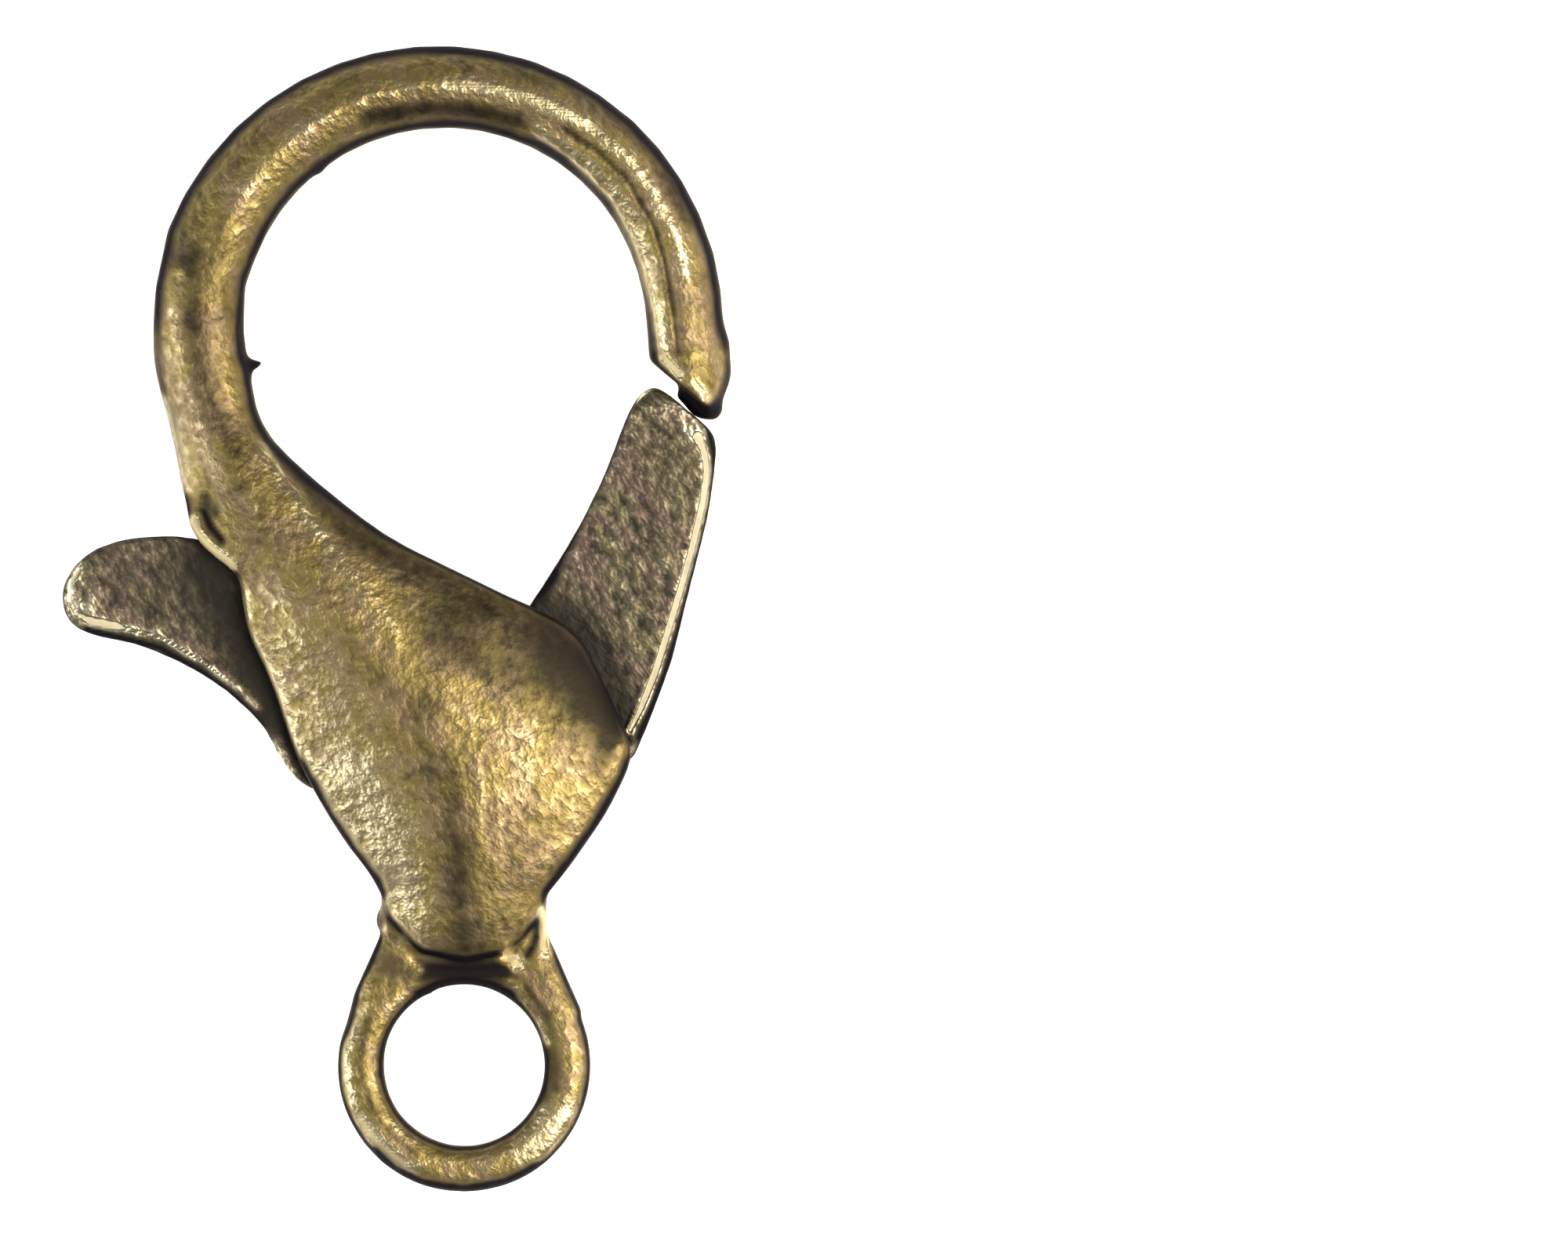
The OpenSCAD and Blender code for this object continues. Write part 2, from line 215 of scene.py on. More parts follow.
def add_lump(work, column, row, height, half_sizes, turn):
    """A small round lump at a pixel of the photograph, sunk into the metal that carries it."""
    across, along = at_pixel(column, row)
    shape = (
        Matrix.Translation((across, along, height))
        @ Matrix.Rotation(math.radians(turn), 4, "Z")
        @ Matrix.Diagonal((*half_sizes, 1))
    )
    bmesh.ops.create_icosphere(work, subdivisions=LUMP_SUBDIVISIONS, radius=1, matrix=shape)


def fresh_copy(node, name, lumps=()):
    """A copy of a solid of the frame in millimetres, with its split corners joined again."""
    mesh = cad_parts[node].data.copy()
    mesh.name = name
    mesh.materials.clear()
    work = bmesh.new()
    work.from_mesh(mesh)
    bmesh.ops.remove_doubles(work, verts=work.verts, dist=SPLIT_CORNER_GAP_MM * MM)
    bmesh.ops.scale(work, vec=(1 / MM, 1 / MM, 1 / MM), verts=work.verts)
    for lump in lumps:
        add_lump(work, *lump)
    work.to_mesh(mesh)
    work.free()
    piece = bpy.data.objects.new(name, mesh)
    bpy.context.scene.collection.objects.link(piece)
    return piece


def fine_skin(piece, square_mm):
    """Replaces the piece's mesh by an even skin of small squares."""
    remesh = piece.modifiers.new("fine_skin", "REMESH")
    remesh.mode = "VOXEL"
    remesh.voxel_size = square_mm
    bpy.context.view_layer.update()
    graph = bpy.context.evaluated_depsgraph_get()
    made = bpy.data.meshes.new_from_object(piece.evaluated_get(graph))
    piece.modifiers.clear()
    piece.data = made


# %% Read and write a skin as arrays
def places_of(mesh):
    places = np.empty(len(mesh.vertices) * 3, np.float64)
    mesh.vertices.foreach_get("co", places)
    return places.reshape(-1, 3)


def normals_of(mesh):
    normals = np.empty(len(mesh.vertices) * 3, np.float32)
    mesh.vertices.foreach_get("normal", normals)
    return normals.reshape(-1, 3).astype(np.float64)


def set_places(mesh, places):
    mesh.vertices.foreach_set("co", places.astype(np.float32).ravel())
    mesh.update()


def edges_of(mesh):
    edges = np.empty(len(mesh.edges) * 2, np.int64)
    mesh.edges.foreach_get("vertices", edges)
    return edges.reshape(-1, 2)


# %% Relax a skin, or any values on it
RELAX_SHARE = 0.5


def neighbour_mean(values, edges):
    """The mean of each point's neighbours, for one column of values or several."""
    count = len(values)
    columns = values.reshape(count, -1)
    degree = np.bincount(edges.ravel(), minlength=count)
    total = np.stack([
        np.bincount(edges[:, 0], columns[edges[:, 1], k], count)
        + np.bincount(edges[:, 1], columns[edges[:, 0], k], count)
        for k in range(columns.shape[1])
    ], axis=1)
    return (total / np.maximum(degree, 1)[:, None]).reshape(values.shape)


def relax(values, edges, passes, share=RELAX_SHARE):
    for _ in range(passes):
        values = values + share * (neighbour_mean(values, edges) - values)
    return values


def relax_skin(piece, edges, passes):
    set_places(piece.data, relax(places_of(piece.data), edges, passes))


def step_up(values, low, high):
    """0 below low, 1 above high, and a soft rise between them."""
    share = np.clip((values - low) / (high - low), 0, 1)
    return share * share * (3 - 2 * share)


# %% [markdown]
# ## Marks that are given one by one
# A mould and years of handling leave marks that follow no formula: a dent where the metal
# shrank, a bright line where a ring slid along. They could be painted on the skin. Here each
# mark is a stroke instead, with a name, a strength, a width and a few points read off the
# photograph, so that it can be found and changed later. A stroke gives each point of the skin
# a value, 1 on the stroke and fading to 0 beside it. The same tool rounds off corners, shifts
# the skin sideways, presses dents and, further on, colours the metal, with wear and patina and
# also with painted highlights and painted shade. Seen from above a stroke passes through the
# whole piece, so the back face gets the same marks as the front.

# %% Strokes laid in the plan
def near_stroke(places, points, radius_pixels):
    """How near each place lies to a stroke through pixels: 1 on it, fading away to 0."""
    path = np.array([at_pixel(*point) for point in points])
    plan = places[:, :2]
    nearest = np.full(len(plan), np.inf)
    for start, end in zip(path[:-1], path[1:]):
        along = end - start
        share = np.clip(((plan - start) @ along) / (along @ along), 0, 1)
        gap = plan - (start + share[:, None] * along)
        nearest = np.minimum(nearest, (gap ** 2).sum(axis=1))
    return np.exp(-nearest / (radius_pixels * MM_PER_PIXEL) ** 2)


def lay_strokes(places, strokes):
    total = np.zeros(len(places))
    for strength, radius_pixels, points in strokes.values():
        total += strength * near_stroke(places, points, radius_pixels)
    return total


def soften_places(piece, edges, soft_places):
    """Relaxes the skin near some strokes only, to round off corners more than the rest."""
    for passes, radius_pixels, points in soft_places.values():
        places = places_of(piece.data)
        share = RELAX_SHARE * near_stroke(places, points, radius_pixels)[:, None]
        set_places(piece.data, relax(places, edges, passes, share))


def shift_places(piece, shifts):
    """Moves the skin near some strokes sideways in the plan."""
    for shift, radius_pixels, points in shifts.values():
        places = places_of(piece.data)
        share = near_stroke(places, points, radius_pixels)
        places[:, 0] += share * shift[0] * MM_PER_PIXEL
        places[:, 1] -= share * shift[1] * MM_PER_PIXEL
        set_places(piece.data, places)


# %% Routes that several marks follow
LEFT_BAND = [(284, 400), (277, 345), (288, 292), (318, 240), (360, 195), (415, 150), (480, 122), (540, 110)]
INNER_EDGE = [(690, 172), (738, 204), (785, 254), (816, 320), (835, 385), (845, 440)]
CREASE = [(720, 168), (760, 192), (800, 230), (832, 285), (848, 335), (858, 395), (864, 450)]
END_FACE = [(845, 455), (868, 479)]
RIDGE = [(338, 572), (368, 620), (396, 660), (428, 705)]
CHEEK_LIP = [(249, 664), (254, 680), (263, 692), (280, 706), (299, 721)]
LEFT_RIM = [(308, 742), (322, 800), (358, 885), (402, 985), (455, 1080)]
BODY_SEAM = [(611, 962), (617, 1072)]
RIGHT_SLIVER = [(791, 953), (784, 985)]
NECK_LINE = [(490, 1188), (510, 1212), (538, 1238)]
EYE_INNER_LINE = [(650, 1252), (672, 1277), (688, 1305), (697, 1330)]
FLAKE = [(352, 950), (366, 975), (379, 1000)]
print("a pixel of the photograph is", round(MM_PER_PIXEL, 4), "mm wide")

# %% [markdown]
# ## The casting
# Hook, body and eye come out of the mould as one piece, with the faults of a cheap casting:
# a spur inside the hook, nubs where the metal ran into cracks of the mould, a chip at the
# neck, and a blunt pad on the stop at the hook's end. They are small lumps, and the skin is
# laid over lumps and solid together, so that they grow out of the metal with no seam. The
# skin is relaxed a few passes for the rounding, and more at the hook's end and where the
# left rail runs out on the eye. Then the hook's end, a swelling above it and the nose of the
# body are shifted by up to a third of a millimetre, because no casting keeps quite to its
# plan. The second cell measures how sharply the skin bends, for the wear on its edges.

# %% Casting skin
CASTING_SQUARE_MM = 0.11
CASTING_RELAX_PASSES = 5
# name: column and row in the photograph, height in mm, half sizes in mm, turn in degrees
CASTING_LUMPS = {
    "hook_spur": (321, 465, 0.1, (0.38, 0.17, 0.22), 6),
    "spur_root": (315, 478, 0.1, (0.16, 0.3, 0.4), 12),
    "hook_nub": (409, 217, 0.1, (0.16, 0.12, 0.3), 50),
    "wire_nub": (440, 181, 0.95, (0.13, 0.1, 0.12), 0),
    "stop_pad": (890, 521, 0.0, (0.52, 0.26, 0.62), -38),
    "stop_toe": (873, 505, 0.0, (0.27, 0.23, 0.58), -40),
    "bore_nub": (545, 1266, 0.55, (0.2, 0.1, 0.2), 20),
    "neck_chip": (655, 1222, 0.85, (0.3, 0.24, 0.3), 55),
    "neck_nub": (486, 1172, 0.2, (0.16, 0.34, 0.4), -5),
}
# name: relaxing passes, radius in pixels, points in the photograph
CASTING_SOFT_PLACES = {
    "hook_end": (120, 14, [(916, 540), (934, 552)]),
    "left_rail_end": (160, 16, [(444, 1288), (442, 1302)]),
}
# name: shift in pixels, radius in pixels, points in the photograph
CASTING_SHIFTS = {
    "hook_end_in": ((-9, -2), 20, [(928, 520), (932, 545)]),
    "hook_swell": ((6, 0), 20, [(926, 440), (927, 470)]),
    "nose_down": ((0, 13), 24, [(545, 1196), (590, 1206), (642, 1196)]),
}

cast_body = fresh_copy("casting", "cast_body", CASTING_LUMPS.values())
fine_skin(cast_body, CASTING_SQUARE_MM)
casting_edges = edges_of(cast_body.data)
relax_skin(cast_body, casting_edges, CASTING_RELAX_PASSES)
soften_places(cast_body, casting_edges, CASTING_SOFT_PLACES)
shift_places(cast_body, CASTING_SHIFTS)
print("casting skin:", len(cast_body.data.vertices), "points,", len(cast_body.data.polygons), "squares")

# %% Curvature
EDGE_PASSES = 6


def roundness(mesh, edges, passes):
    """Over 0 on ridges and edges, under 0 in hollows, from the skin's own form."""
    places = places_of(mesh)
    inwards = relax(places, edges, passes) - places
    return -np.einsum("ij,ij->i", inwards, normals_of(mesh))


casting_edge_curve = roundness(cast_body.data, casting_edges, EDGE_PASSES)
print("edge curve in mm", np.percentile(casting_edge_curve, [1, 50, 99]).round(4))

# %% [markdown]
# ## The mould's waves and dents
# A cast face is never flat. It swells and sinks over a millimetre or two, and has a fine
# peel from the mould's surface. A displacement texture could do this, but it wouldn't leave
# the inside of the slot alone, so both waves are worked out for each point and pushed in
# along its normal, on the outside only. The waves are sunk below the solid's face for the
# most part, because the finished clasp has to stay within its measured size. The dents and
# low ridges come from strokes.

# %% Mould swell and dents
SWELL_MM = 0.035
SWELL_WAVE_MM = 1.6
SWELL_SINK = 0.6
SWELL_SHIFT = 3.1
PEEL_MM = 0.016
PEEL_WAVE_MM = 0.4
PEEL_SHIFT = 7.7
OUTSIDE_FACING = (-0.15, 0.25)
# name: push in mm, out over 0 and in under 0, radius in pixels, points in the photograph
CASTING_DENTS = {
    "pit_behind_rim": (-0.16, 6, [(257, 656), (267, 674), (281, 690)]),
    "pit_on_limb": (-0.07, 10, [(262, 640), (270, 648)]),
    "rim_lip": (0.09, 6, [(249, 668), (262, 691), (280, 706), (299, 721)]),
    "inner_strip": (0.09, 10, INNER_EDGE),
    "left_band": (0.05, 8, LEFT_BAND),
    "right_band": (0.055, 9, [
        (540, 110), (640, 116), (700, 134), (755, 163), (800, 199), (834, 245), (862, 300),
        (877, 360),
    ]),
    "limb_waist": (-0.06, 14, [(318, 425), (318, 450)]),
    "neck_hollow": (-0.10, 22, [(560, 1243), (625, 1243)]),
    "body_ridge": (0.05, 9, [*RIDGE, (470, 762), (505, 818)]),
    "seam_on_body": (0.03, 4, BODY_SEAM),
    "crease_inside_band": (-0.06, 5, CREASE),
    "nick_on_wire": (-0.04, 5, [(258, 248), (268, 262)]),
}


def wavy(places, wave_mm, shift):
    offset = Vector((shift, shift, shift))
    return np.array([noise.noise(Vector(place) / wave_mm + offset) for place in places])


def facing_out(places, normals):
    """1 where the skin faces away from the middle plane, -1 where it faces into the slot."""
    return np.sign(places[:, 2]) * normals[:, 2]


casting_places = places_of(cast_body.data)
casting_normals = normals_of(cast_body.data)
swell = SWELL_MM * (wavy(casting_places, SWELL_WAVE_MM, SWELL_SHIFT) - SWELL_SINK)
peel = PEEL_MM * wavy(casting_places, PEEL_WAVE_MM, PEEL_SHIFT)
dents = lay_strokes(casting_places, CASTING_DENTS)
on_outside = step_up(facing_out(casting_places, casting_normals), *OUTSIDE_FACING)
push = (swell + peel + dents) * on_outside
set_places(cast_body.data, casting_places + casting_normals * push[:, None])
print("mould swell and dents from", round(push.min(), 3), "to", round(push.max(), 3), "mm")

# %% [markdown]
# ## Wear, black patina and painted light on the casting
# The plating was blackened and then rubbed back on a wheel, and its edges are rubbed a little
# more. On top of that wear the strokes paint light and shade: painted highlights on the wire's
# bright band, the ridge into the body, both flanks of the body, the rims and the eye's crest,
# and painted shade on the hook's outer half, the side along the opening, the dark band down the
# body's middle and the neck under the body. A mask from curvature alone can't place these, so
# they are laid as strokes in the plan. Two masks come out of it, one for how far the plating is
# rubbed, with the painted highlights and shade in it, and one for how much black covers it,
# with more painted shade in it. Steep sides keep their black, patina that along the outline is
# also painted shade, except for the side walls, which are partly rubbed again.

# %% Strokes of wear and painted light on the casting
# name: strength, radius in pixels, points in the photograph
# over 0 is rubbed brighter and carries painted highlights, as on the wire's bands, the ridge,
# the flanks, the rims and the eye; under 0 is painted shade, as on the hook's outer half, beside
# the opening, down the body's middle, on the eye's crest and at the neck
CASTING_WEAR_AND_LIGHT_STROKES = {
    "band_left": (-0.2, 13, LEFT_BAND[:3]),
    "band_upper_left": (0.32, 12, LEFT_BAND[3:]),
    "band_right": (0.87, 11, [(570, 109), (600, 110), (640, 116), (700, 134), (752, 161)]),
    "band_right_low": (0.7, 11, [(764, 170), (800, 199), (834, 245), (862, 300), (876, 350)]),
    "band_end": (-0.08, 16, [(882, 395), (890, 440), (899, 490)]),
    "dark_crease": (-0.6, 5, CREASE),
    "pale_inner_edge": (0.76, 11, INNER_EDGE),
    "end_face": (1.6, 5, END_FACE),
    "end_corner": (1.1, 5, [(886, 487), (907, 510)]),
    "hook_outer_half": (-0.23, 24, [
        (222, 330), (238, 270), (270, 205), (320, 150), (390, 100), (470, 74), (560, 66),
        (650, 74), (730, 100), (800, 145), (855, 205), (890, 270),
    ]),
    "dark_beside_band": (-0.22, 12, [(650, 92), (725, 118), (790, 160), (842, 220), (878, 285)]),
    "dark_under_top": (-0.5, 13, [(470, 150), (530, 141), (590, 141), (660, 156)]),
    "left_limb_outer": (0.22, 11, [(218, 415), (227, 450), (241, 505), (262, 565), (285, 615)]),
    "left_limb_middle": (-0.38, 17, [(245, 330), (247, 400), (258, 460), (276, 520), (300, 570)]),
    "ridge_into_body": (0.84, 11, RIDGE),
    "ridge_fading": (0.34, 16, [(446, 728), (470, 760), (500, 810)]),
    "shade_below_ridge": (-0.2, 26, [(498, 858), (545, 893)]),
    "crest_of_body": (-0.05, 20, [(318, 600), (350, 655), (392, 725), (432, 790), (470, 850), (520, 905)]),
    "shade_on_side_of_opening": (-0.37, 34, [
        (372, 600), (440, 665), (520, 722), (600, 765), (690, 806), (755, 860), (798, 930),
    ]),
    "shade_by_notch": (-0.5, 42, [(560, 812), (630, 840), (700, 868), (765, 902)]),
    "left_flank": (0.22, 42, [(372, 825), (408, 895), (440, 950)]),
    "left_flank_low": (0.68, 42, [(450, 990), (480, 1050), (498, 1095)]),
    "nose_left": (0.5, 30, [(512, 1135), (534, 1178)]),
    "right_lobe": (0.16, 50, [(590, 885), (645, 930), (685, 980), (680, 1035)]),
    "right_lobe_low": (-0.2, 30, [(690, 1045), (665, 1105), (650, 1165)]),
    "shade_down_body": (-0.28, 34, [(548, 920), (565, 985), (580, 1050), (588, 1120), (592, 1195)]),
    "shade_down_body_low": (-0.24, 31, [(585, 1090), (594, 1195)]),
    "seam": (0.35, 4, BODY_SEAM),
    "left_rim": (0.45, 8, LEFT_RIM),
    "cheek_lip": (2.2, 6, CHEEK_LIP),
    "pit_behind_rim": (-0.6, 7, [(258, 656), (268, 674), (282, 690)]),
    "dark_limb_spot": (-0.50, 12, [(262, 638), (274, 652)]),
    "limb_edge_highlight": (0.55, 9, [(217, 515), (228, 560), (243, 622)]),
    "specks_on_limb": (0.7, 5, [(231, 350), (232, 354)]),
    "lower_speck": (0.7, 5, [(220, 398), (221, 402)]),
    "eye_outer_left": (0.42, 9, [
        (462, 1285), (446, 1325), (443, 1370), (455, 1415), (480, 1455), (515, 1485),
    ]),
    "eye_crest_shade_left": (-0.5, 8, [
        (470, 1300), (459, 1340), (459, 1375), (472, 1412), (496, 1446), (530, 1470),
    ]),
    "eye_inner_left": (-0.1, 8, [(484, 1310), (475, 1345), (474, 1372), (486, 1408)]),
    "eye_outer_right": (-0.2, 13, [
        (705, 1232), (728, 1285), (742, 1345), (738, 1390), (715, 1435), (680, 1468), (640, 1486),
    ]),
    "eye_inner_right": (-0.5, 9, [(672, 1262), (698, 1300), (712, 1345), (708, 1392)]),
    "eye_inner_line": (0.7, 5, EYE_INNER_LINE),
    "eye_low_right": (0.85, 14, [(722, 1415), (698, 1448), (664, 1473)]),
    "eye_low_left": (0.5, 9, [(460, 1428), (490, 1462), (530, 1487)]),
    "neck_left_shade": (-0.3, 18, [(488, 1200), (520, 1240)]),
    "neck_arch_shade": (-0.75, 16, [(550, 1241), (590, 1243), (645, 1238)]),
    "neck_sliver": (1.2, 5, [(692, 1162), (696, 1215)]),
    "right_sliver": (0.45, 5, RIGHT_SLIVER),
    "lobe_corner": (-0.3, 16, [(773, 950), (770, 975)]),
    "neck_line": (0.3, 5, NECK_LINE),
    "neck_chip": (1.90, 8, [(650, 1218), (660, 1230)]),
}

# %% Strokes of soot and painted shade on the casting
# name: strength, radius in pixels, points in the photograph
# over 0 is blacker, and is painted shade under the nose, at the neck, in the notches, in the
# eye's bore and along the dark outlines; under 0 lets the metal show
CASTING_SOOT_AND_SHADE_STROKES = {
    "under_nose": (0.5, 7, [(497, 1176), (514, 1206), (541, 1229), (590, 1234), (634, 1231)]),
    "neck_arch": (0.62, 18, [(550, 1241), (590, 1244), (640, 1240), (652, 1236)]),
    "notch_right": (1.2, 6, [(674, 1218), (684, 1200), (688, 1180)]),
    "bore_top": (1.0, 6, [(532, 1266), (560, 1258), (592, 1255), (628, 1258), (655, 1268)]),
    "neck_limb_left": (0.55, 13, [(474, 1196), (470, 1222), (498, 1236)]),
    "eye_low_outline": (1.2, 6, [
        (480, 1466), (504, 1489), (538, 1506), (592, 1515), (645, 1506), (684, 1485),
    ]),
    "notch_edge": (0.55, 15, [(690, 788), (735, 815), (770, 858), (796, 920)]),
    "bore_right": (0.5, 7, [(655, 1262), (685, 1288), (700, 1325), (705, 1365), (695, 1405)]),
    "bore_left": (0.8, 6, [(545, 1267), (524, 1279), (504, 1304), (492, 1338), (488, 1370)]),
    "inner_line_shows": (-0.7, 5, EYE_INNER_LINE),
    "neck_sliver_shows": (-1.6, 5, [(694, 1160), (698, 1215)]),
    "chip_shows": (-2.2, 8, [(650, 1216), (658, 1230)]),
    "neck_line_shows": (-0.8, 5, NECK_LINE),
    "left_low_outline": (1.3, 8, [
        (388, 975), (402, 1002), (421, 1040), (449, 1081), (481, 1121), (487, 1138),
    ]),
    "right_low_outline": (1.3, 8, [
        (802, 970), (792, 998), (777, 1023), (757, 1058), (737, 1086), (717, 1110), (699, 1138),
    ]),
    "right_sliver_shows": (-0.6, 5, RIGHT_SLIVER),
    "hook_outline": (0.7, 8, [
        (560, 58), (620, 63), (690, 79), (760, 113), (822, 163), (872, 225), (906, 295),
        (922, 360),
    ]),
    "limb_edge_shows": (-0.75, 8, [(208, 512), (221, 560), (236, 622)]),
    "stop": (1.3, 9, [(874, 504), (893, 522), (912, 540)]),
    "inner_strip_shows": (-0.4, 9, INNER_EDGE[1:]),
    "lip_shows": (-1.5, 6, CHEEK_LIP),
    "rim_shows": (-0.5, 5, LEFT_RIM[:4]),
    "limb_edge_fades": (-0.35, 20, [(197, 440), (202, 500)]),
    "end_face_shows": (-1.1, 5, END_FACE),
    "end_side_shows": (-0.6, 8, [(922, 455), (918, 480), (912, 502)]),
    "neck_side_shows": (-0.5, 7, [(488, 1148), (487, 1182)]),
    "pit_behind_rim": (1.2, 5, [(257, 654), (268, 674), (282, 691)]),
    "spur": (0.8, 9, [(326, 464), (338, 466)]),
    "shade_on_side_of_opening": (0.08, 30, [
        (400, 612), (470, 676), (540, 722), (610, 755), (690, 795), (755, 850), (795, 915),
    ]),
    "lower_notch": (0.2, 30, [(700, 820), (745, 850), (785, 905)]),
}

# %% Masks of the casting
BASE_WEAR = 0.31
EDGE_WEAR = 0.3
EDGE_CURVE_MM = (0.004, 0.02)
EDGE_FACING = (0.1, 0.5)
EYE_CREST_STRENGTH = 0.16
EYE_CREST_RADIUS_MM = 3.15
EYE_CREST_WIDTH_MM = 0.45
EYE_CREST_BELOW_MM = (-2.6, -1.6)
STEEP_FACING = (0.42, 0.80)
SLOT_FACING = (-0.3, 0.1)
WALL_FACING = (0.02, 0.3)
WALL_RUB = 0.34
WALL_DARK = 0.4
WALL_WEAR_LIMIT = 0.55
NECK_PIXELS = [(500, 1200), (545, 1232), (590, 1240), (645, 1235), (688, 1195)]
NECK_RADIUS_PIXELS = 22
LEAST_WORN = -0.5
MOST_WORN = 1.6
NORMAL_PASSES = 4
MASK_PASSES = 1


def rub_walls(soot_and_shade, wall):
    """Takes part of the black off the side walls, but leaves none of them quite clean."""
    return np.maximum(soot_and_shade * (1 - WALL_RUB * wall), WALL_DARK * wall)


def add_values(mesh, name, values):
    """Stores one value for each point of the skin, for the material to read."""
    layer = mesh.attributes.new(name, "FLOAT", "POINT")
    layer.data.foreach_set("value", np.clip(values, LEAST_WORN, MOST_WORN).astype(np.float32))


casting_normals = relax(normals_of(cast_body.data), casting_edges, NORMAL_PASSES)
facing = np.abs(casting_normals[:, 2])
outward = facing_out(casting_places, casting_normals)
from_eye = np.hypot(casting_places[:, 0], casting_places[:, 1])
eye_crest = np.exp(-((from_eye - EYE_CREST_RADIUS_MM) / EYE_CREST_WIDTH_MM) ** 2)
eye_crest *= step_up(-casting_places[:, 1], *EYE_CREST_BELOW_MM)
# the plating's wear, with the painted highlights and painted shade of the strokes
casting_wear_and_light = (
    BASE_WEAR + lay_strokes(casting_places, CASTING_WEAR_AND_LIGHT_STROKES) + EYE_CREST_STRENGTH * eye_crest
    + EDGE_WEAR * step_up(casting_edge_curve, *EDGE_CURVE_MM) * step_up(outward, *EDGE_FACING)
)
# black patina on the steep sides and inside the slot, which along the outline is also painted shade; the
# strokes add more painted shade
casting_soot_and_shade = np.maximum(1 - step_up(facing, *STEEP_FACING), 1 - step_up(outward, *SLOT_FACING))
casting_soot_and_shade = np.clip(casting_soot_and_shade + lay_strokes(casting_places, CASTING_SOOT_AND_SHADE_STROKES), 0, 1)
at_neck = near_stroke(casting_places, NECK_PIXELS, NECK_RADIUS_PIXELS)
rubbed_wall = (1 - step_up(facing, *WALL_FACING)) * (1 - at_neck)
casting_soot_and_shade = rub_walls(casting_soot_and_shade, rubbed_wall)
casting_wear_and_light = np.minimum(casting_wear_and_light, MOST_WORN - (MOST_WORN - WALL_WEAR_LIMIT) * rubbed_wall)
add_values(cast_body.data, "wear_and_light", relax(casting_wear_and_light, casting_edges, MASK_PASSES))
add_values(cast_body.data, "soot_and_shade", relax(casting_soot_and_shade, casting_edges, MASK_PASSES))
print("wear_and_light", np.percentile(casting_wear_and_light, [5, 50, 95]).round(2))

# %% [markdown]
# ## The lever
# The lever is a flat cast plate. Its two faces keep the mould's rough grain, and its rim is
# rounded by handling, most of all at the arm's end. The same skin does it, finer because the
# plate is thin. The rim is rubbed bright down the arm's outer edge and under the thumb piece,
# where fingers and rings slide along it, and a painted highlight lies on those rims and the arm's
# end as well. The dark outlines along its edges and the dark where the plate goes into the body
# are painted shade.

# %% Lever skin
LEVER_SQUARE_MM = 0.08
LEVER_RELAX_PASSES = 9
LEVER_PEEL_MM = 0.014
LEVER_PEEL_WAVE_MM = 0.35
LEVER_PEEL_SINK = 0.7
LEVER_PEEL_SHIFT = 2.3
# name: relaxing passes, radius in pixels, points in the photograph
LEVER_SOFT_PLACES = {
    "arm_end": (160, 20, [(826, 492), (842, 494)]),
    "arm_corner": (60, 12, [(905, 545), (911, 556)]),
}

lever_plate = fresh_copy("lever", "lever_plate")
fine_skin(lever_plate, LEVER_SQUARE_MM)
lever_edges = edges_of(lever_plate.data)
relax_skin(lever_plate, lever_edges, LEVER_RELAX_PASSES)
soften_places(lever_plate, lever_edges, LEVER_SOFT_PLACES)
lever_places = places_of(lever_plate.data)
lever_peel = LEVER_PEEL_MM * (wavy(lever_places, LEVER_PEEL_WAVE_MM, LEVER_PEEL_SHIFT) - LEVER_PEEL_SINK)
set_places(lever_plate.data, lever_places + normals_of(lever_plate.data) * lever_peel[:, None])
print("lever skin:", len(lever_plate.data.vertices), "points,", len(lever_plate.data.polygons), "squares")

# %% Strokes of wear, soot and painted light on the lever
# name: strength, radius in pixels, points in the photograph
# over 0 is rubbed brighter and a painted highlight on the rims and the arm's end; under 0 is painted shade
# on the thumb and where the plate goes under the body
LEVER_WEAR_AND_LIGHT_STROKES = {
    "arm_outer_rim": (1.8, 5.5, [
        (890, 558), (898, 576), (902, 600), (897, 640), (883, 700), (869, 750), (853, 803),
        (835, 860), (817, 905), (804, 932),
    ]),
    "arm_end": (0.6, 12, [(818, 506), (846, 513), (872, 531), (890, 556)]),
    "arm_end_edge": (0.3, 5, [(864, 516), (884, 533), (898, 552)]),
    "arm_inner_rim": (0.26, 12, [(804, 530), (786, 575), (764, 625), (738, 675), (712, 720)]),
    "thumb_tip_rim": (1.0, 5.5, [(104, 724), (92, 742), (90, 765), (98, 783), (118, 793), (150, 799)]),
    "thumb_lower_rim": (1.15, 5, [(118, 793), (150, 799), (205, 812), (256, 841), (300, 874), (328, 901)]),
    "thumb_tip_tan": (0.45, 19, [(108, 745), (112, 780), (140, 790)]),
    "flake": (1.1, 9, FLAKE),
    "thumb_face": (-0.15, 40, [(150, 755), (200, 760)]),
    "thumb_root": (-0.5, 46, [(262, 720), (300, 800), (345, 890), (385, 960)]),
    "arm_root": (-0.55, 26, [(676, 770), (715, 785), (745, 815), (772, 860), (797, 925)]),
}
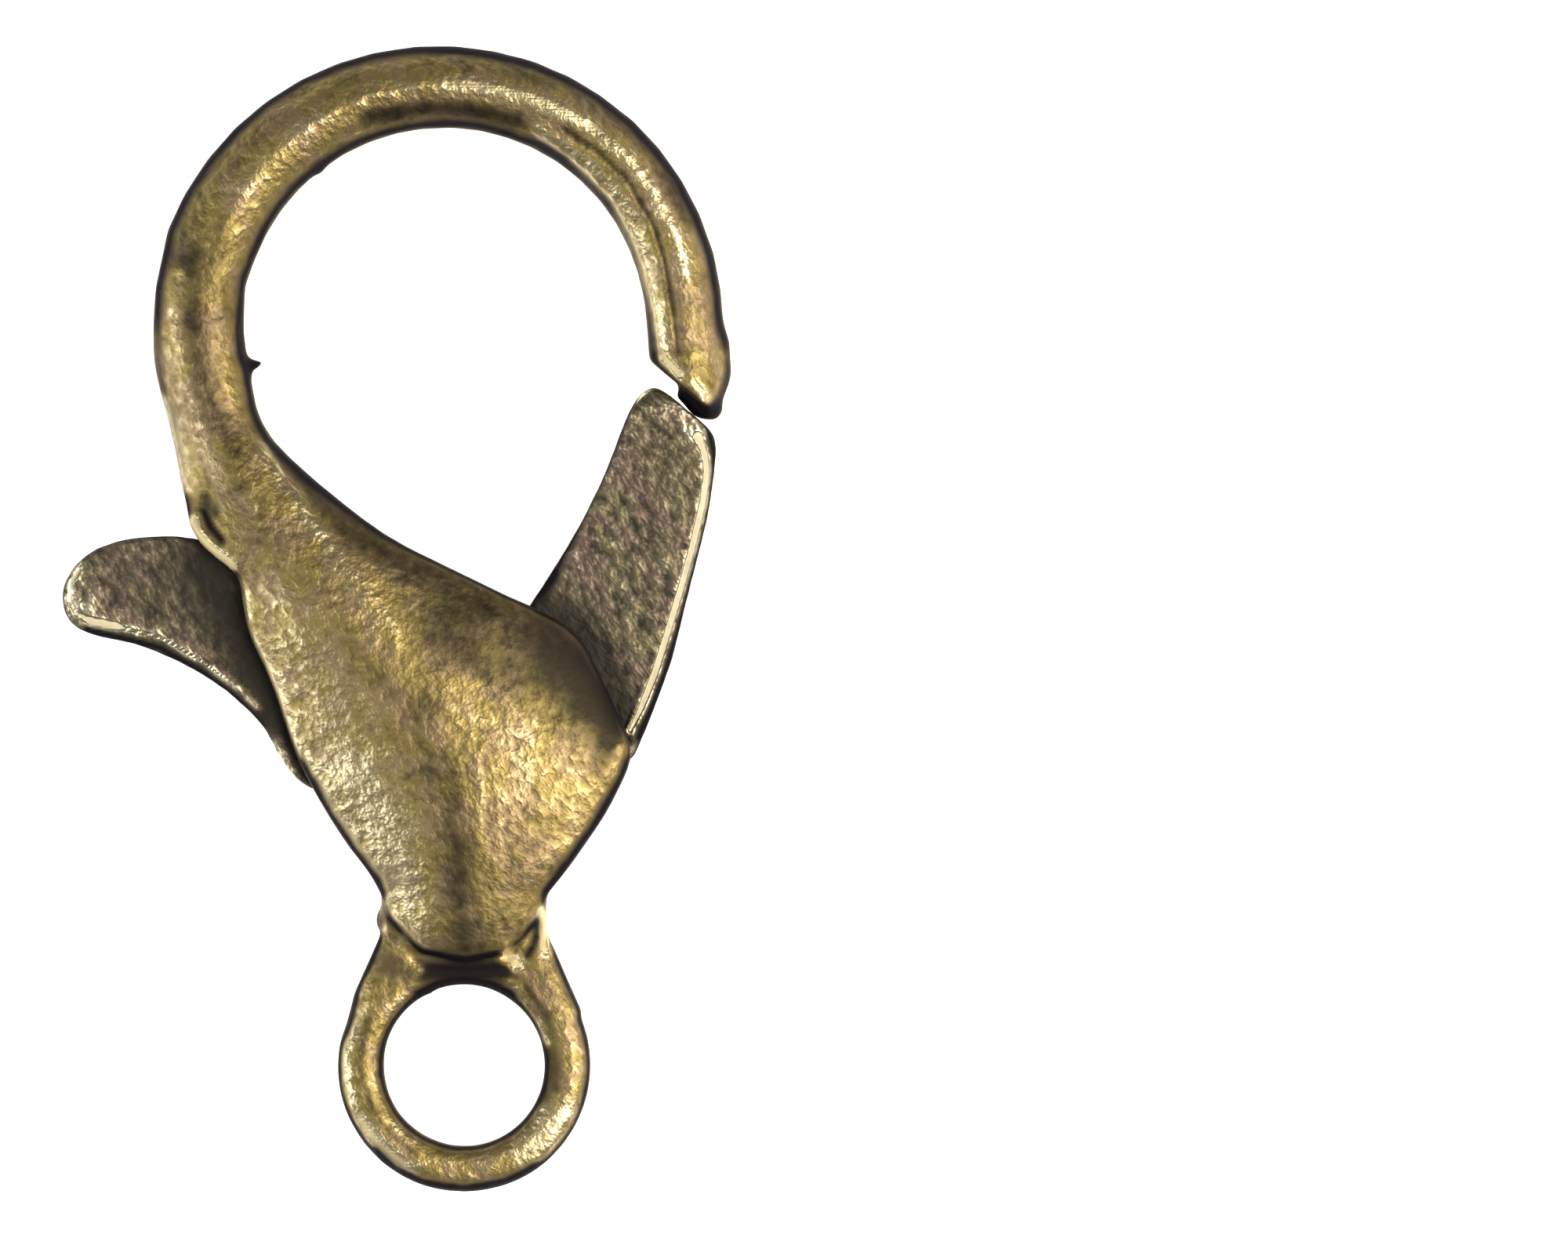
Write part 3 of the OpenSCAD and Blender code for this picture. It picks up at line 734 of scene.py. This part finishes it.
# painted shade: dark outlines along the arm and under the thumb, the notch and the roots under the body;
# under 0 lets the metal show
LEVER_SOOT_AND_SHADE_STROKES = {
    "arm_outer_line": (1.3, 6.5, [
        (907, 552), (913, 580), (914, 610), (909, 650), (895, 705), (881, 755), (866, 808),
        (849, 862), (831, 908), (817, 940),
    ]),
    "arm_inner_line": (1.0, 5, [(805, 512), (789, 555), (775, 590), (744, 657), (709, 731), (692, 752)]),
    "arm_end_shows": (-1.0, 13, [(820, 504), (836, 502), (852, 512), (878, 534)]),
    "flake_shows": (-1.4, 10, FLAKE),
    "thumb_root": (0.25, 40, [(275, 715), (300, 790), (345, 880)]),
    "arm_notch": (1.0, 9, [(704, 738), (688, 760)]),
    "thumb_lower_line": (1.2, 6, [(112, 803), (150, 812), (205, 826), (258, 857), (302, 891), (332, 925)]),
}

# %% Masks of the lever
LEVER_BASE_WEAR = 0.17
LEVER_STEEP_FACING = (0.35, 0.75)
LEVER_NORMAL_PASSES = 3

lever_normals = relax(normals_of(lever_plate.data), lever_edges, LEVER_NORMAL_PASSES)
lever_facing = np.abs(lever_normals[:, 2])
# the plating's wear, with painted highlights on the rims and painted shade at the roots
lever_wear_and_light = LEVER_BASE_WEAR + lay_strokes(lever_places, LEVER_WEAR_AND_LIGHT_STROKES)
# black patina on the steep sides, which along the outline is also painted shade
lever_soot_and_shade = 1 - step_up(lever_facing, *LEVER_STEEP_FACING)
lever_soot_and_shade = np.clip(lever_soot_and_shade + lay_strokes(lever_places, LEVER_SOOT_AND_SHADE_STROKES), 0, 1)
lever_soot_and_shade = rub_walls(lever_soot_and_shade, 1 - step_up(lever_facing, *WALL_FACING))
add_values(lever_plate.data, "wear_and_light", lever_wear_and_light)
add_values(lever_plate.data, "soot_and_shade", lever_soot_and_shade)
print("lever worn", np.percentile(lever_wear_and_light, [5, 50, 95]).round(2))

# %% [markdown]
# ## Antique bronze
# Antique bronze is a thin brass-coloured plating that is blackened all over and then rubbed
# back. The black stays in the hollows and on the steep sides, and the brass shows where the
# rubbing reached. A picture of such metal could be wrapped round the clasp, but it would
# stretch on the curves and stay coarse close by. Two groups of nodes make it instead, from
# each point's place and its two masks: one for the cast grain, and one that lays the black
# over the brass by the masks. The masks carry painted highlights and painted shade besides
# the wear and the black, so this group paints them into the colour too.

# %% Node helpers
# The mix node has a pair of inputs for each kind of value, and these are the colours' ones.
MIX_COLOUR_INPUTS = (6, 7)
MIX_COLOUR_OUTPUT = 2


def new_group(name, inputs, outputs):
    tree = bpy.data.node_groups.new(name, "ShaderNodeTree")
    for label, kind, value in inputs:
        socket = tree.interface.new_socket(label, in_out="INPUT", socket_type=kind)
        if value is not None:
            socket.default_value = value
    for label, kind in outputs:
        tree.interface.new_socket(label, in_out="OUTPUT", socket_type=kind)
    return tree, tree.nodes.new("NodeGroupInput"), tree.nodes.new("NodeGroupOutput")


def feed(tree, value, socket):
    """Links what another node puts out, and sets a plain value on the socket itself."""
    if isinstance(value, bpy.types.NodeSocket):
        tree.links.new(value, socket)
    else:
        socket.default_value = value


def math_node(tree, operation, first, second, clamp=False):
    node = tree.nodes.new("ShaderNodeMath")
    node.operation = operation
    node.use_clamp = clamp
    feed(tree, first, node.inputs[0])
    feed(tree, second, node.inputs[1])
    return node.outputs[0]


def times(tree, first, second):
    return math_node(tree, "MULTIPLY", first, second)


def mix_colour(tree, share, first, second):
    node = tree.nodes.new("ShaderNodeMix")
    node.data_type = "RGBA"
    feed(tree, share, node.inputs["Factor"])
    for place, colour in zip(MIX_COLOUR_INPUTS, (first, second)):
        feed(tree, colour, node.inputs[place])
    return node.outputs[MIX_COLOUR_OUTPUT]


def spread(tree, value, low, high, to_low, to_high):
    """Turns low to high into to_low to to_high, with a soft start and end."""
    node = tree.nodes.new("ShaderNodeMapRange")
    node.interpolation_type = "SMOOTHSTEP"
    feed(tree, value, node.inputs["Value"])
    for label, number in (("From Min", low), ("From Max", high), ("To Min", to_low), ("To Max", to_high)):
        feed(tree, number, node.inputs[label])
    return node.outputs["Result"]


def noise_node(tree, vector, scale, detail, roughness=0.5):
    node = tree.nodes.new("ShaderNodeTexNoise")
    settings = (("Vector", vector), ("Scale", scale), ("Detail", detail), ("Roughness", roughness))
    for label, value in settings:
        feed(tree, value, node.inputs[label])
    return node.outputs["Fac"]


# %% Cast grain group
GRAIN_DETAIL = 2
GRAIN_ROUGHNESS = 0.55
# scale as a share of the grain's own, and detail
PATCH_SCALE = (0.2, 2)
SPECK_SCALE = (0.7, 1)
TINT_SCALE = (0.33, 1)
# low and high end of the noise, and what comes out at either end
SPECK_SPREAD = (0.60, 0.72, 0, 1)


def drawn_out(tree, given):
    """The place on the piece, turned and stretched so that noise comes out as strokes."""
    turn = tree.nodes.new("ShaderNodeCombineXYZ")
    tree.links.new(given.outputs["Stroke angle"], turn.inputs["Z"])
    stretch = tree.nodes.new("ShaderNodeCombineXYZ")
    tree.links.new(given.outputs["Stroke stretch"], stretch.inputs["X"])
    stretch.inputs["Y"].default_value = 1
    stretch.inputs["Z"].default_value = 1
    along = tree.nodes.new("ShaderNodeMapping")
    along.vector_type = "TEXTURE"
    tree.links.new(given.outputs["Vector"], along.inputs["Vector"])
    tree.links.new(turn.outputs["Vector"], along.inputs["Rotation"])
    tree.links.new(stretch.outputs["Vector"], along.inputs["Scale"])
    return along.outputs["Vector"]


def grain_group():
    """The mould's grain at four sizes, three of them drawn out along one direction."""
    tree, given, out = new_group(
        "cast_grain",
        [
            ("Vector", "NodeSocketVector", None), ("Grain per mm", "NodeSocketFloat", 5.0),
            ("Stroke angle", "NodeSocketFloat", 0.0), ("Stroke stretch", "NodeSocketFloat", 1.0),
        ],
        [
            ("Grain", "NodeSocketFloat"), ("Patches", "NodeSocketFloat"), ("Specks", "NodeSocketFloat"),
            ("Tint", "NodeSocketFloat"),
        ],
    )
    per_metre = times(tree, given.outputs["Grain per mm"], 1 / MM)
    drawn = drawn_out(tree, given)

    def coarser(vector, scale, detail):
        return noise_node(tree, vector, times(tree, per_metre, scale), detail)

    fine = noise_node(tree, drawn, per_metre, GRAIN_DETAIL, GRAIN_ROUGHNESS)
    specks = spread(tree, coarser(drawn, *SPECK_SCALE), *SPECK_SPREAD)
    tree.links.new(fine, out.inputs["Grain"])
    tree.links.new(coarser(given.outputs["Vector"], *PATCH_SCALE), out.inputs["Patches"])
    tree.links.new(specks, out.inputs["Specks"])
    tree.links.new(coarser(drawn, *TINT_SCALE), out.inputs["Tint"])
    return tree


# %% Patina and painted light group
# a mask's low and high end, and what comes out at either end
SMOOTHER_BY_WEAR = (0.9, 1.4, 1, 0.15)
SMOOTHER_BY_SOOT = (0, 1, 1, 0.3)
SMOOTHER_IN_THE_DARK = (-0.4, 0.25, 0.35, 1)
MOTTLE_BY_WEAR = (0, 0.7, 0.45, 1)
TAN_BY_TINT = (0.42, 0.62, 0, 1)
DARK_TO_MIDDLE = (-0.35, 0.45, 0, 1)
MIDDLE_TO_BRIGHT = (0.35, 1.2, 0, 1)
ROUGHNESS_BY_RUB = (0.1, 1.0, 0.56, 0.36)
ROUGHER_WHERE_BARE = (1.0, 1.5, 0, 0.22)
METAL_BY_SOOT = (0, 1, 1, 0.1)
METAL_WHERE_BARE = (1.1, 1.6, 1, 0.5)
SOOT_ROUGHNESS = 0.3
SPARK_STRENGTH = 0.6
STREAK_STRENGTH = 2.4
NOISE_MIDDLE = 0.5
PATINA_INPUTS = [
    ("Wear_and_light", "NodeSocketFloat", 0.5), ("Soot_and_shade", "NodeSocketFloat", 0.0), ("Tint", "NodeSocketFloat", 0.5),
    ("Grain", "NodeSocketFloat", 0.5), ("Patches", "NodeSocketFloat", 0.5),
    ("Specks", "NodeSocketFloat", 0.0), ("Mottle", "NodeSocketFloat", 2.0),
    ("Blotches", "NodeSocketFloat", 0.7), ("Tan", "NodeSocketColor", (0.4, 0.3, 0.2, 1)),
    ("Bright", "NodeSocketColor", (0.6, 0.5, 0.3, 1)),
    ("Middle", "NodeSocketColor", (0.3, 0.22, 0.1, 1)),
    ("Dark", "NodeSocketColor", (0.04, 0.03, 0.02, 1)),
    ("Black", "NodeSocketColor", (0.015, 0.012, 0.012, 1)),
]
PATINA_OUTPUTS = [
    ("Color", "NodeSocketColor"), ("Roughness", "NodeSocketFloat"), ("Shine", "NodeSocketFloat"),
    ("Height", "NodeSocketFloat"),
]


def wear_and_light_amount(tree, given, smooth):
    """How far a place is rubbed, its painted highlights and shade included, with the grain, the patches and
    the specks in it.
    """
    lively = times(tree, spread(tree, given.outputs["Wear_and_light"], *MOTTLE_BY_WEAR), smooth)
    lively = times(tree, lively, given.outputs["Mottle"])
    grain = math_node(tree, "SUBTRACT", given.outputs["Grain"], NOISE_MIDDLE)
    patches = math_node(tree, "SUBTRACT", given.outputs["Patches"], NOISE_MIDDLE)
    sparks = times(tree, times(tree, given.outputs["Specks"], given.outputs["Wear_and_light"]), SPARK_STRENGTH)
    marks = math_node(tree, "ADD", times(tree, patches, given.outputs["Blotches"]), sparks)
    marks = math_node(tree, "ADD", times(tree, grain, lively), marks)
    return math_node(tree, "ADD", given.outputs["Wear_and_light"], marks)


def soot_and_shade_share(tree, given):
    """The soot and its painted shade, with streaks where it is half rubbed off."""
    streaks = math_node(tree, "SUBTRACT", given.outputs["Patches"], NOISE_MIDDLE)
    streaks = times(tree, streaks, STREAK_STRENGTH)
    clear = math_node(tree, "SUBTRACT", 1.0, given.outputs["Soot_and_shade"])
    half_rubbed = times(tree, given.outputs["Soot_and_shade"], clear)
    return math_node(tree, "ADD", given.outputs["Soot_and_shade"], times(tree, streaks, half_rubbed), clamp=True)


def patina_and_light_group():
    tree, given, out = new_group("patina_and_painted_light", PATINA_INPUTS, PATINA_OUTPUTS)
    wear_and_light = given.outputs["Wear_and_light"]
    soot_and_shade = given.outputs["Soot_and_shade"]
    smooth = times(tree, spread(tree, wear_and_light, *SMOOTHER_BY_WEAR), spread(tree, soot_and_shade, *SMOOTHER_BY_SOOT))
    smooth = times(tree, smooth, spread(tree, wear_and_light, *SMOOTHER_IN_THE_DARK))
    rubbed_and_lit = wear_and_light_amount(tree, given, smooth)
    tan_share = spread(tree, given.outputs["Tint"], *TAN_BY_TINT)
    middle = mix_colour(tree, tan_share, given.outputs["Middle"], given.outputs["Tan"])
    brass = mix_colour(tree, spread(tree, rubbed_and_lit, *DARK_TO_MIDDLE), given.outputs["Dark"], middle)
    brass = mix_colour(tree, spread(tree, rubbed_and_lit, *MIDDLE_TO_BRIGHT), brass, given.outputs["Bright"])
    soot_and_shade_colour = mix_colour(tree, soot_and_shade_share(tree, given), brass, given.outputs["Black"])
    dull = times(tree, soot_and_shade, SOOT_ROUGHNESS)
    matt = math_node(tree, "ADD", dull, spread(tree, wear_and_light, *ROUGHER_WHERE_BARE))
    roughness = math_node(tree, "ADD", spread(tree, rubbed_and_lit, *ROUGHNESS_BY_RUB), matt)
    metal = times(tree, spread(tree, soot_and_shade, *METAL_BY_SOOT), spread(tree, wear_and_light, *METAL_WHERE_BARE))
    height = times(tree, given.outputs["Grain"], smooth)
    for label, value in (("Color", soot_and_shade_colour), ("Roughness", roughness), ("Shine", metal), ("Height", height)):
        tree.links.new(value, out.inputs[label])
    return tree


cast_grain = grain_group()
patina_and_painted_light = patina_and_light_group()
print("nodes in the groups:", len(cast_grain.nodes), "and", len(patina_and_painted_light.nodes))

# %% Bronze material
BRONZE_SPECULAR = 0.07


def bronze_material(name, colours, grain, mottle, blotches, bump_mm):
    """colours: Bright, Middle, Tan, Dark and Black. grain: grains in a mm, stroke angle and stretch."""
    material = bpy.data.materials.new(name)
    material.use_nodes = True
    tree = material.node_tree
    shader = tree.nodes["Principled BSDF"]
    coordinates = tree.nodes.new("ShaderNodeTexCoord")
    texture = tree.nodes.new("ShaderNodeGroup")
    texture.node_tree = cast_grain
    texture.inputs["Grain per mm"].default_value = grain[0]
    texture.inputs["Stroke angle"].default_value = math.radians(grain[1])
    texture.inputs["Stroke stretch"].default_value = grain[2]
    tree.links.new(coordinates.outputs["Object"], texture.inputs["Vector"])
    patina = tree.nodes.new("ShaderNodeGroup")
    patina.node_tree = patina_and_painted_light
    patina.inputs["Mottle"].default_value = mottle
    patina.inputs["Blotches"].default_value = blotches
    for label, colour in colours.items():
        patina.inputs[label].default_value = (*colour, 1)
    for label in ("Wear_and_light", "Soot_and_shade"):
        layer = tree.nodes.new("ShaderNodeAttribute")
        layer.attribute_name = label.lower()
        tree.links.new(layer.outputs["Fac"], patina.inputs[label])
    for label in ("Grain", "Patches", "Specks", "Tint"):
        tree.links.new(texture.outputs[label], patina.inputs[label])
    shader.inputs["Specular IOR Level"].default_value = BRONZE_SPECULAR
    tree.links.new(patina.outputs["Color"], shader.inputs["Base Color"])
    tree.links.new(patina.outputs["Roughness"], shader.inputs["Roughness"])
    tree.links.new(patina.outputs["Shine"], shader.inputs["Metallic"])
    bump = tree.nodes.new("ShaderNodeBump")
    bump.inputs["Distance"].default_value = bump_mm * MM
    tree.links.new(patina.outputs["Height"], bump.inputs["Height"])
    tree.links.new(bump.outputs["Normal"], shader.inputs["Normal"])
    return material


# %% Bronze of the casting and of the lever
# Bright is rubbed brass and the colour of the painted highlights; Dark and Black are the patina and the
# painted shade
BODY_COLOURS = {
    "Bright": (0.89, 0.735, 0.42), "Middle": (0.40, 0.305, 0.113), "Tan": (0.41, 0.30, 0.16),
    "Dark": (0.058, 0.048, 0.03), "Black": (0.012, 0.009, 0.014),
}
LEVER_COLOURS = {
    "Bright": (0.92, 0.82, 0.57), "Middle": (0.26, 0.22, 0.135), "Tan": (0.26, 0.195, 0.15),
    "Dark": (0.055, 0.05, 0.04), "Black": (0.013, 0.011, 0.014),
}
body_bronze = bronze_material(
    "antique_bronze", BODY_COLOURS, grain=(3.5, -50, 1.15), mottle=1.6, blotches=0.62, bump_mm=0.075,
)
lever_bronze = bronze_material(
    "antique_bronze_lever", LEVER_COLOURS, grain=(3.2, -48, 1.5), mottle=3.4, blotches=0.35, bump_mm=0.13,
)
print("nodes in each bronze:", len(body_bronze.node_tree.nodes), "and", len(lever_bronze.node_tree.nodes))

# %% [markdown]
# ## Pin and spring
# Both are plain drawn steel, hidden between the cheeks, so they stay simple: the pin keeps its
# solid, and the spring is wound as a round wire along a helix. A curve with a thick bevel
# would wind it too, but a helix written as a formula keeps its ends square and its size exact.
# When the lever is pressed the real spring shortens, with its foot on the slot's floor; here it keeps its
# wound length.

# %% Steel material
STEEL_GRAIN_PER_MM = 6
STEEL_GRAIN_DETAIL = 3
STEEL_DARK = (0.42, 0.42, 0.41, 1)
STEEL_PALE = (0.66, 0.66, 0.64, 1)
# low and high end of the grain, and the roughness at either end
STEEL_ROUGHNESS = (0.3, 0.7, 0.3, 0.5)


def steel_material():
    material = bpy.data.materials.new("bright_steel")
    material.use_nodes = True
    tree = material.node_tree
    shader = tree.nodes["Principled BSDF"]
    shader.inputs["Metallic"].default_value = 1.0
    coordinates = tree.nodes.new("ShaderNodeTexCoord")
    grain = noise_node(tree, coordinates.outputs["Object"], STEEL_GRAIN_PER_MM / MM, STEEL_GRAIN_DETAIL)
    tree.links.new(mix_colour(tree, grain, STEEL_DARK, STEEL_PALE), shader.inputs["Base Color"])
    tree.links.new(spread(tree, grain, *STEEL_ROUGHNESS), shader.inputs["Roughness"])
    return material


steel = steel_material()
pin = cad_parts["pivot_pin"]
pin.data.materials.clear()
pin.data.materials.append(steel)
print("nodes in the steel:", len(steel.node_tree.nodes))

# %% Coil spring
COIL_TURNS = 4
COIL_WIRE_MM = 0.28
COIL_SIDES = 12
COIL_STEPS_PER_TURN = 28


def coil_faces(steps):
    """The squares round the wire, and a flat face at each of its two ends."""
    faces = []
    for step in range(steps):
        for side in range(COIL_SIDES):
            here = step * COIL_SIDES + side
            beside = step * COIL_SIDES + (side + 1) % COIL_SIDES
            faces.append((here, here + COIL_SIDES, beside + COIL_SIDES, beside))
    faces.append(tuple(range(COIL_SIDES)))
    faces.append(tuple(steps * COIL_SIDES + side for side in reversed(range(COIL_SIDES))))
    return faces


def wind_spring():
    low, high = (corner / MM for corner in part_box("return_spring"))
    middle = ((low.x + high.x) / 2, (low.z + high.z) / 2)
    wire_r = COIL_WIRE_MM / 2
    coil_r = (high.x - low.x) / 2 - wire_r
    foot = low.y + wire_r
    climb = (high.y - low.y - COIL_WIRE_MM) / COIL_TURNS
    steps = COIL_TURNS * COIL_STEPS_PER_TURN
    points = []
    for step in range(steps + 1):
        turn = math.tau * step / COIL_STEPS_PER_TURN
        for side in range(COIL_SIDES):
            angle = math.tau * side / COIL_SIDES
            radius = coil_r + wire_r * math.cos(angle)
            height = foot + climb * turn / math.tau + wire_r * math.sin(angle)
            points.append((
                (middle[0] + radius * math.cos(turn)) * MM,
                height * MM,
                (middle[1] + radius * math.sin(turn)) * MM,
            ))
    mesh = bpy.data.meshes.new("coil_spring")
    mesh.from_pydata(points, [], coil_faces(steps))
    mesh.polygons.foreach_set("use_smooth", [True] * len(mesh.polygons))
    mesh.materials.append(steel)
    coil = bpy.data.objects.new("coil_spring", mesh)
    bpy.context.scene.collection.objects.link(coil)
    return coil, (middle[0] * MM, low.y * MM, middle[1] * MM)


coil_spring, coil_foot = wind_spring()
print("spring wound:", len(coil_spring.data.polygons), "faces")

# %% [markdown]
# ## Each piece on its body
# The clasp moves at one hinge, so a piece rides either on the body or on the lever. The new
# pieces take the place of their plain solids, and the pin stays as it came. The spring is
# pressed between the two, but here it rides whole on the body, and none of it is seen.

# %% Put the pieces on their bodies
# piece, the solid that it replaces, its body and its material slot
DRESSED = (
    (cast_body, "casting", "body", "antique_bronze"),
    (lever_plate, "lever", "lever", "antique_bronze_lever"),
    (coil_spring, "return_spring", "body", "bright_steel"),
)


def finish_skin(piece, material):
    """Brings a skin from millimetres back to metres and gives it its bronze."""
    piece.data.transform(Matrix.Diagonal((MM, MM, MM, 1)))
    piece.data.materials.append(material)
    piece.data.polygons.foreach_set("use_smooth", [True] * len(piece.data.polygons))


finish_skin(cast_body, body_bronze)
finish_skin(lever_plate, lever_bronze)
for piece, node, body, slot in DRESSED:
    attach(piece, body)
    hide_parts(node)
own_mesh(coil_spring)
print("pieces on their bodies:", [piece.name for piece, *_ in DRESSED])
